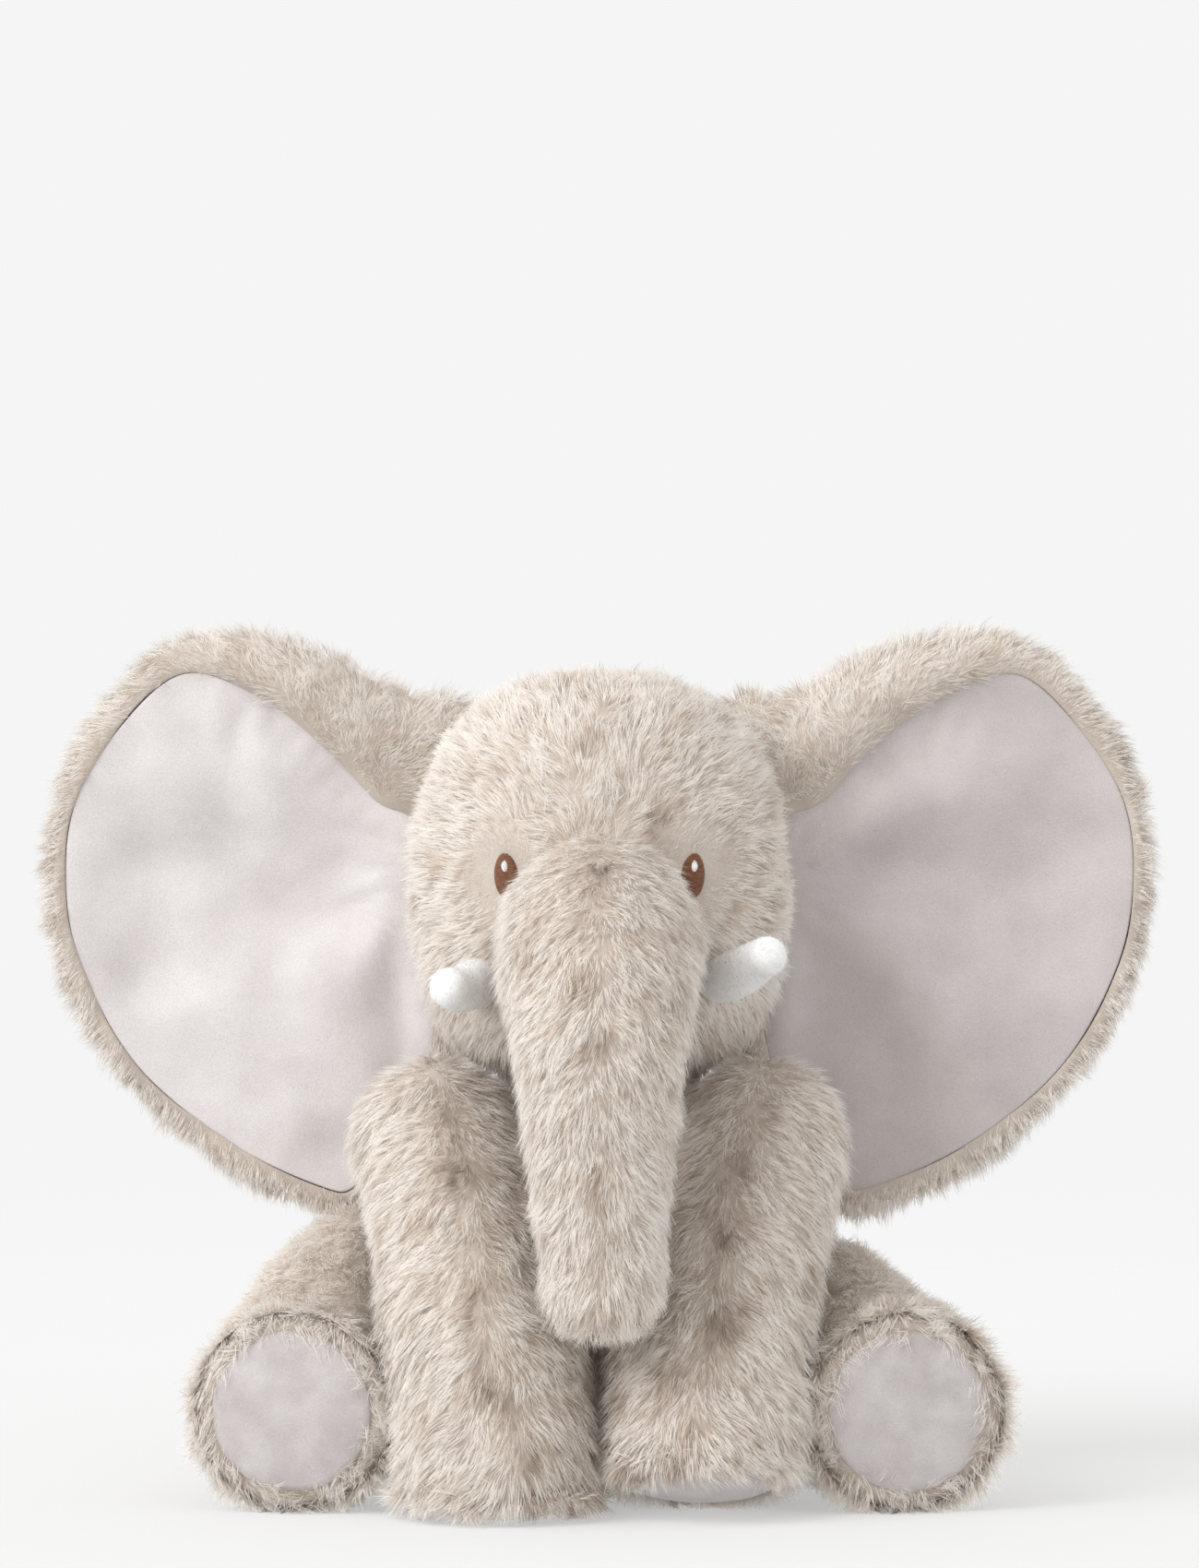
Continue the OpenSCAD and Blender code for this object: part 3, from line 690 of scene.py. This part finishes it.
def sole(name, centre, way, r, seed):
    """A domed velour sole with a tucked, slightly puckered edge."""
    rings, around = 14, 72
    u = unit(np.cross(way, [0.0, 1.0, 0.0] if abs(way[1]) < 0.9 else UP))
    v = np.cross(way, u)
    angles = np.linspace(0, 2 * math.pi, around, endpoint=False)
    pucker = sum(np.sin(angles * k + seed * k) for k in (11, 17, 23)) / 3
    verts, profile = [centre + way * SOLE_OUT], []
    for i in range(1, rings + 1):
        t = i / rings
        profile.append((r * t, 1.2 + (SOLE_OUT - 1.2) * (1 - t**3.2), 0.35 * smooth(0.55, 0.95, t)))
    profile += [(r + 0.6, 0.4, 0.1), (r + 0.2, -0.6, 0.0), (r * 0.6, -0.8, 0.0)]
    for radius, height, puck in profile:
        ring = centre + (u * np.cos(angles)[:, None] + v * np.sin(angles)[:, None]) * radius
        verts.extend(ring + way * (height + puck * pucker)[:, None])
    verts.append(centre - way * 0.8)
    n = len(profile)
    faces = [(0, 1 + k, 1 + (k + 1) % around) for k in range(around)]
    for i in range(n - 1):
        a, b = 1 + i * around, 1 + (i + 1) * around
        faces += [(a + k, b + k, b + (k + 1) % around, a + (k + 1) % around) for k in range(around)]
    a = 1 + (n - 1) * around
    faces += [(len(verts) - 1, a + (k + 1) % around, a + k) for k in range(around)]
    obj = make_mesh(name, verts, faces)
    dress(obj, SOLE_VELOUR)
    return obj


def hind_sole_place(side):
    """The centre of a hind sole, and the way it faces."""
    return mirrored([hind_sole], side)[0], mirrored([hind_way], side)[0]


def front_sole_place(side):
    """The centre of a front sole, and the way it faces. The left foot is raised."""
    low, way = (left_sole, RAISED) if side > 0 else (right_sole, -UP)
    return mirrored([low], side)[0], way


soles = {}
for word, side in SIDES:
    soles["hind_" + word] = sole(f"hind_sole_velour_{word}", *hind_sole_place(side), HIND_SOLE_R, 2 + side)
    soles["front_" + word] = sole(f"front_sole_velour_{word}", *front_sole_place(side),
                                  FRONT_SOLE_R, 5 + side)

# ---------------------------------------------------------------- tusks and eyes

tusks = {}
for word, side in SIDES:
    tip = at(58, -94, 194) if side > 0 else at(52, -92, 183)
    path = [at(40, -58, 184), at(46, -74, 183), tip - [5, -9, 3], tip]
    tusks[word] = limb(f"tusk_plush_{word}", 8, [mirrored(path, side)],
                       [[0, 8, 8], [0.5, 8, 8], [1, 6.9, 6.9]], 18, UP)
    dress(tusks[word], WHITE_PLUSH)


def eye_frame(side):
    """An eye's seat: (centre, outward, along +X, up), from its CAD node."""
    lo, hi = (np.array(c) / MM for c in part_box("eye_left"))
    wide, deep = hi[0] - lo[0], hi[1] - lo[1]
    turn = math.atan2(deep, wide)
    out = np.array([math.sin(turn), -math.cos(turn), 0])
    centre = (lo + hi) / 2
    return (mirrored([centre], side)[0], mirrored([out], side)[0],
            mirrored([[math.cos(turn), math.sin(turn), 0]], side)[0], UP)


def stitched(name, side, half_w, half_h, dx, dz, rise, threads, mat):
    """An oval of satin stitch: thread after thread laid across it, over a padded dome."""
    centre, out, along, up = eye_frame(side)
    verts, faces = [], []
    around, steps = 6, 10
    thick = half_h / threads * 1.25
    for j in range(threads):
        z = (2 * (j + 0.5) / threads - 1) * half_h
        wide = half_w * math.sqrt(max(1 - (z / half_h) ** 2, 0.02))
        base = len(verts)
        for i in range(steps + 1):
            x = (2 * i / steps - 1) * wide
            dome = rise * (1 - (x / (half_w * 1.05)) ** 2 * 0.6 - (z / (half_h * 1.05)) ** 2 * 0.6)
            slant = 0.35 * x / half_w
            sunk = 0.9 if i in (0, steps) else 0
            c = centre + along * (x + dx) + up * (z + dz + slant) + out * (dome - sunk)
            for k in range(around):
                a = 2 * math.pi * k / around
                verts.append(c + up * math.cos(a) * thick + out * math.sin(a) * thick * 0.8)
        for i in range(steps):
            for k in range(around):
                a, b = base + i * around, base + (i + 1) * around
                faces.append((a + k, b + k, b + (k + 1) % around, a + (k + 1) % around))
        faces.append(tuple(base + k for k in range(around)))
        faces.append(tuple(base + steps * around + k for k in reversed(range(around))))
    obj = make_mesh(name, verts, faces if side > 0 else [f[::-1] for f in faces])
    dress(obj, mat)
    return obj


eyes = {}
for word, side in SIDES:
    eyes[word] = stitched(f"eye_stitches_{word}", side, 4.9, 7.6, 0, 0, 2.2, 26, BROWN)
    eyes["light_" + word] = stitched(f"eye_highlight_stitches_{word}", side, 1.5, 2.1, -0.6, 3.1, 3.1, 8,
                                     WHITE)

# ---------------------------------------------------------------- tail

tail_root = at(0, 82, 57)
tail_path = [tail_root, tail_root + [0, 16, 0], tail_root + [0, 19, -14], tail_root + [0, 19, -34]]
tail = limb("tail_fur_skin", 6, [tail_path], [[0, 6, 6], [1, 5, 5]], 18, np.array([1.0, 0, 0]))
tuft_path = [tail_path[3] - UP * k for k in (0, 6, 11, 15)]
tuft = limb("tail_tuft_skin", 5, [tuft_path], [[0, 5, 5], [0.4, 7, 7], [1, 5, 5]], 8, FRONT)
for obj in (tail, tuft):
    dress(obj, BACKING)

# ---------------------------------------------------------------- the pile on each skin

EYES = {side: eye_frame(side)[0] for _, side in SIDES}
FACE = at(0, -84, 208)


def near(p, spot):
    return np.linalg.norm(p - spot, axis=1)


def eye_gap(p):
    return np.minimum(near(p, EYES[1]), near(p, EYES[-1]))


def head_flow(p, n):
    away = unit(p - FACE)
    f = away * 0.9 + np.array([0, 0.35, -0.25])
    f[:, 2] -= 0.5 * smooth(60, 20, p[:, 2] - 150)
    for side in (1, -1):
        d = p - EYES[side]
        weight = 2.0 * np.exp(-(near(p, EYES[side]) / 13) ** 2)[:, None]
        f = f + unit(d) * weight
    return f


def brow_patch(p):
    """A parted spot above the left eye, where the pile is shorter and painted shade darkens it."""
    return np.exp(-(near(p[:, [0, 2]], at(20, 0, 235)[[0, 2]]) / 6.5) ** 2) * (p[:, 1] < 0)


# Painted shade: the parted spot above the left eye and the outer corners of the eyes, where the pile sinks
# into shade.
def head_painted_shade(p):
    outer = sum(np.exp(-(near(p, EYES[side] + [9 * side, 0, 2]) / 7) ** 2) for side in (1, -1))
    return 0.45 * brow_patch(p) + 0.3 * outer


def head_trim(p, n):
    gap = eye_gap(p)
    return np.where(gap < 7.0, 0, 0.3 + 0.7 * smooth(7, 22, gap)) * (1 - 0.5 * brow_patch(p))


def trunk_flow(p, n):
    f = np.tile([0.0, 0.0, -1.0], (len(p), 1))
    upper = smooth(164, 209, p[:, 2])[:, None]
    f = f + upper * np.array([0, -0.5, 0.1])
    f[:, 0] += np.tanh(p[:, 0] / 6) * 0.55
    return f


def trunk_painted_shade(p):
    """Painted shade in the parting down the middle of the trunk."""
    return 0.3 * np.exp(-(p[:, 0] / 4) ** 2) * (0.7 + 0.5 * ripples(p, 20, 71))


def torso_flow(p, n):
    f = np.tile([0.0, 0.0, -1.0], (len(p), 1))
    f[:, 0] += np.tanh(p[:, 0] / 12) * 0.45
    return f


def off_seam(p, side):
    """How far a spot is from the seam down the front of a front leg, outward being positive."""
    return p[:, 0] * side - 28 - 0.21 * (p[:, 2] - 20) + 2.5 * np.sin(p[:, 2] / 14)


def leg_flow(side):
    def flow(p, n):
        f = np.tile([0.1 * side, -0.15, -1.0], (len(p), 1))
        f[:, 0] += side * 0.7 * np.tanh(off_seam(p, side) / 7) * (n[:, 1] < 0)
        return f
    return flow


# Painted shade on a front leg: a dark band along the parting at its front seam, and a broad darkening on its
# inner side, toward the trunk.
def leg_painted_shade(side):
    def painted_shade(p):
        seam = np.exp(-(off_seam(p, side) / 5) ** 2) * (p[:, 1] < shoulder[1])
        return seam * (0.34 + 0.16 * ripples(p, 22, 73)) + 0.12 * smooth(4, -14, off_seam(p, side))
    return painted_shade


def hind_flow(side):
    c = mirrored([hind_sole], side)[0]
    way = mirrored([hind_way], side)[0]

    def flow(p, n):
        radial = p - c
        radial = unit(radial - way * dot(radial, way))
        return way * 0.8 + radial * 0.25 + np.array([0, 0, -0.35])
    return flow


def sole_trim(sole_centre, way, r):
    """No pile under a sole, and a full pile that crowds its edge."""
    def trim(p, n):
        d = p - sole_centre
        h = d @ way
        radius = np.linalg.norm(d - h[:, None] * way, axis=1)
        return np.where((h > -1.5) & (radius < r - 1), 0.0, 1.0)
    return trim


def ear_flow(side):
    middle = np.array([95 * side, 0, 225]) + SHIFT

    def flow(p, n):
        d = unit((p - middle) * np.array([1, 0, 1]))
        return d + np.array([0.15 * side, 0, -0.35])
    return flow


def ear_lean(p, n):
    """Pile that lies on the faces of an ear and stands off its rim."""
    return 20 + 34 * smooth(0.35, 0.85, np.abs(n[:, 1]))


def ear_trim(p, n):
    """A shorter pile toward the lining."""
    return 1 - 0.25 * smooth(-0.2, 0.5, -n[:, 1])


LIMBS = [*front_legs.values(), *hind_legs.values()]
pile = {}
DENSITY = 1.5
pile["head"] = fur("head_pile", head, DENSITY * 0.95, 10, head_flow, 52, trim=head_trim, hidden_by=[trunk],
                   painted_shade=head_painted_shade)
pile["trunk"] = fur("trunk_pile", trunk, DENSITY * 1.1, 9.5, trunk_flow, 56, hidden_by=[head], painted_shade=trunk_painted_shade)
pile["neck"] = fur("neck_pile", neck, DENSITY, 13, torso_flow, 58, hidden_by=[head, torso])
pile["torso"] = fur("torso_pile", torso, DENSITY * 0.75, 11, torso_flow, 55, hidden_by=LIMBS + [neck])
for word, side in SIDES:
    pile["front_" + word] = fur(f"front_leg_pile_{word}", front_legs[word], DENSITY, 10.5,
                                leg_flow(side), 54, hidden_by=[torso], painted_shade=leg_painted_shade(side),
                                trim=sole_trim(*front_sole_place(side), FRONT_SOLE_R))
    pile["hind_" + word] = fur(f"hind_leg_pile_{word}", hind_legs[word], DENSITY * 0.9, 10,
                               hind_flow(side), 52, hidden_by=[torso],
                               trim=sole_trim(*hind_sole_place(side), HIND_SOLE_R - 0.5))
    pile["ear_" + word] = fur(f"ear_pile_{word}", ear_backs[word], DENSITY * 1.3, 9.5,
                              ear_flow(side), ear_lean, trim=ear_trim, width=0.3, faces=OUTER_FACES)
    pile["tusk_" + word] = fur(f"tusk_pile_{word}", tusks[word], 2.5, 2.2, lambda p, n: p - FACE, 40,
                               mat=TUSK_PILE, hidden_by=[head], width=0.25, spread=0.5)
pile["tail"] = fur("tail_pile", tail, DENSITY, 7, lambda p, n: np.tile([0, 0.4, -1.0], (len(p), 1)), 60)
pile["tuft"] = fur("tail_tuft_pile", tuft, DENSITY * 2, 13,
                   lambda p, n: np.tile([0, 0.1, -1.0], (len(p), 1)), 66)

# ---------------------------------------------------------------- riding, and what stands for what


def settle(skin, strands, body, nodes):
    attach(skin, body)
    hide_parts(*nodes)
    if strands is not None:
        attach(strands, body)


settle(torso, pile["torso"], "torso", ["torso_skin"])
settle(neck, pile["neck"], "neck", ["neck_skin"])
settle(head, pile["head"], "head", ["head_skin"])
settle(tail, pile["tail"], "tail", ["tail_cord"])
settle(tuft, pile["tuft"], "tail", ["tail_tuft"])
for piece in (trunk, pile["trunk"]):
    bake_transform(piece)
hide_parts("trunk_upper_skin", "trunk_lower_skin")
for word, side in SIDES:
    settle(front_legs[word], pile["front_" + word], "front_leg_" + word, ["front_leg_skin_" + word])
    settle(hind_legs[word], pile["hind_" + word], "hind_leg_" + word, ["hind_leg_skin_" + word])
    settle(ear_backs[word], pile["ear_" + word], "ear_" + word, ["ear_back_" + word])
    settle(ear_linings[word], None, "ear_" + word, ["ear_lining_" + word])
    settle(ear_waddings[word], None, "ear_" + word, ["ear_wadding_" + word])
    settle(soles["front_" + word], None, "front_leg_" + word, ["front_sole_" + word])
    settle(soles["hind_" + word], None, "hind_leg_" + word, ["hind_sole_" + word])
    settle(tusks[word], pile["tusk_" + word], "head", ["tusk_" + word])
    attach(eyes[word], "head")
    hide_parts("eye_" + word)
    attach(eyes["light_" + word], "head")
    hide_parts("eye_highlight_" + word)

for name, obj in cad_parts.items():
    if "stuffing" in name or "wadding" in name:
        dress(obj, FIBRE)
    elif name == "pellet_pouch":
        dress(obj, POUCH)
    elif name == "pellet_fill":
        dress(obj, PELLETS)

# ---------------------------------------------------------------- floor, light and camera

FLOOR_R = 1500.0
floor = make_mesh("studio_floor", np.array([[-1, -1, 0], [1, -1, 0], [1, 1, 0], [-1, 1, 0]]) * FLOOR_R,
                  [(0, 1, 2, 3)])
floor_mat, floor_tree, floor_shader = material("studio_white")
floor_tone = ramp(floor_tree, noise(floor_tree, 3, 1), [(0.3, (0.785,) * 3), (0.7, (0.795,) * 3)])
floor_tree.links.new(floor_tone, floor_shader.inputs["Base Color"])
floor_shader.inputs["Roughness"].default_value = 1.0
floor_shader.inputs["Specular IOR Level"].default_value = 0.0
# The floor fades into the backdrop well away from the toy, so that no horizon shows.
place = node(floor_tree, "ShaderNodeTexCoord")
length = node(floor_tree, "ShaderNodeVectorMath", operation="LENGTH")
floor_tree.links.new(place.outputs["Object"], length.inputs[0])
fade = node(floor_tree, "ShaderNodeMapRange", interpolation_type="SMOOTHSTEP")
fade.inputs["From Min"].default_value, fade.inputs["From Max"].default_value = 0.35, 1.3
fade.inputs["To Min"].default_value = 0.45      # a soft, pale shadow
floor_tree.links.new(length.outputs["Value"], fade.inputs["Value"])
clear = node(floor_tree, "ShaderNodeBsdfTransparent")
both = node(floor_tree, "ShaderNodeMixShader")
floor_tree.links.new(fade.outputs["Result"], both.inputs["Fac"])
floor_tree.links.new(floor_shader.outputs["BSDF"], both.inputs[1])
floor_tree.links.new(clear.outputs["BSDF"], both.inputs[2])
floor_tree.links.new(both.outputs["Shader"], floor_tree.nodes["Material Output"].inputs["Surface"])
dress(floor, floor_mat)

world = bpy.data.worlds.new("studio")
bpy.context.scene.world = world
world.use_nodes = True
world.node_tree.nodes["Background"].inputs["Color"].default_value = (1, 1, 1, 1)
world.node_tree.nodes["Background"].inputs["Strength"].default_value = 0.913


def lamp(name, way, spread, strength):
    """A soft sun: a wide, even light from one way, so that the floor stays even."""
    data = bpy.data.lights.new(name, "SUN")
    data.energy = strength
    data.angle = math.radians(spread)
    obj = bpy.data.objects.new(name, data)
    obj.rotation_euler = (-Vector(way)).to_track_quat("-Z", "Y").to_euler()
    bpy.context.scene.collection.objects.link(obj)


lamp("key", (-1.0, -0.75, 0.85), 40, 1.75)

LENS, SENSOR = 200, 36
MM_PER_PIXEL, FRAME_H = 0.326, 1700
ELEVATION = math.radians(2.5)
target = Vector((0, SHIFT[1] * MM - 0.03, 0.251))
distance = MM_PER_PIXEL * FRAME_H * LENS / SENSOR * MM
camera = bpy.data.objects.new("camera", bpy.data.cameras.new("camera"))
camera.data.lens = LENS
camera.data.sensor_width = SENSOR
camera.data.clip_start, camera.data.clip_end = 0.05, 20
back = Vector((0, -math.cos(ELEVATION), math.sin(ELEVATION)))
camera.location = target + back * distance
camera.rotation_euler = (-back).to_track_quat("-Z", "Y").to_euler()
bpy.context.scene.collection.objects.link(camera)
bpy.context.scene.camera = camera
bpy.context.scene.view_settings.view_transform = "Standard"
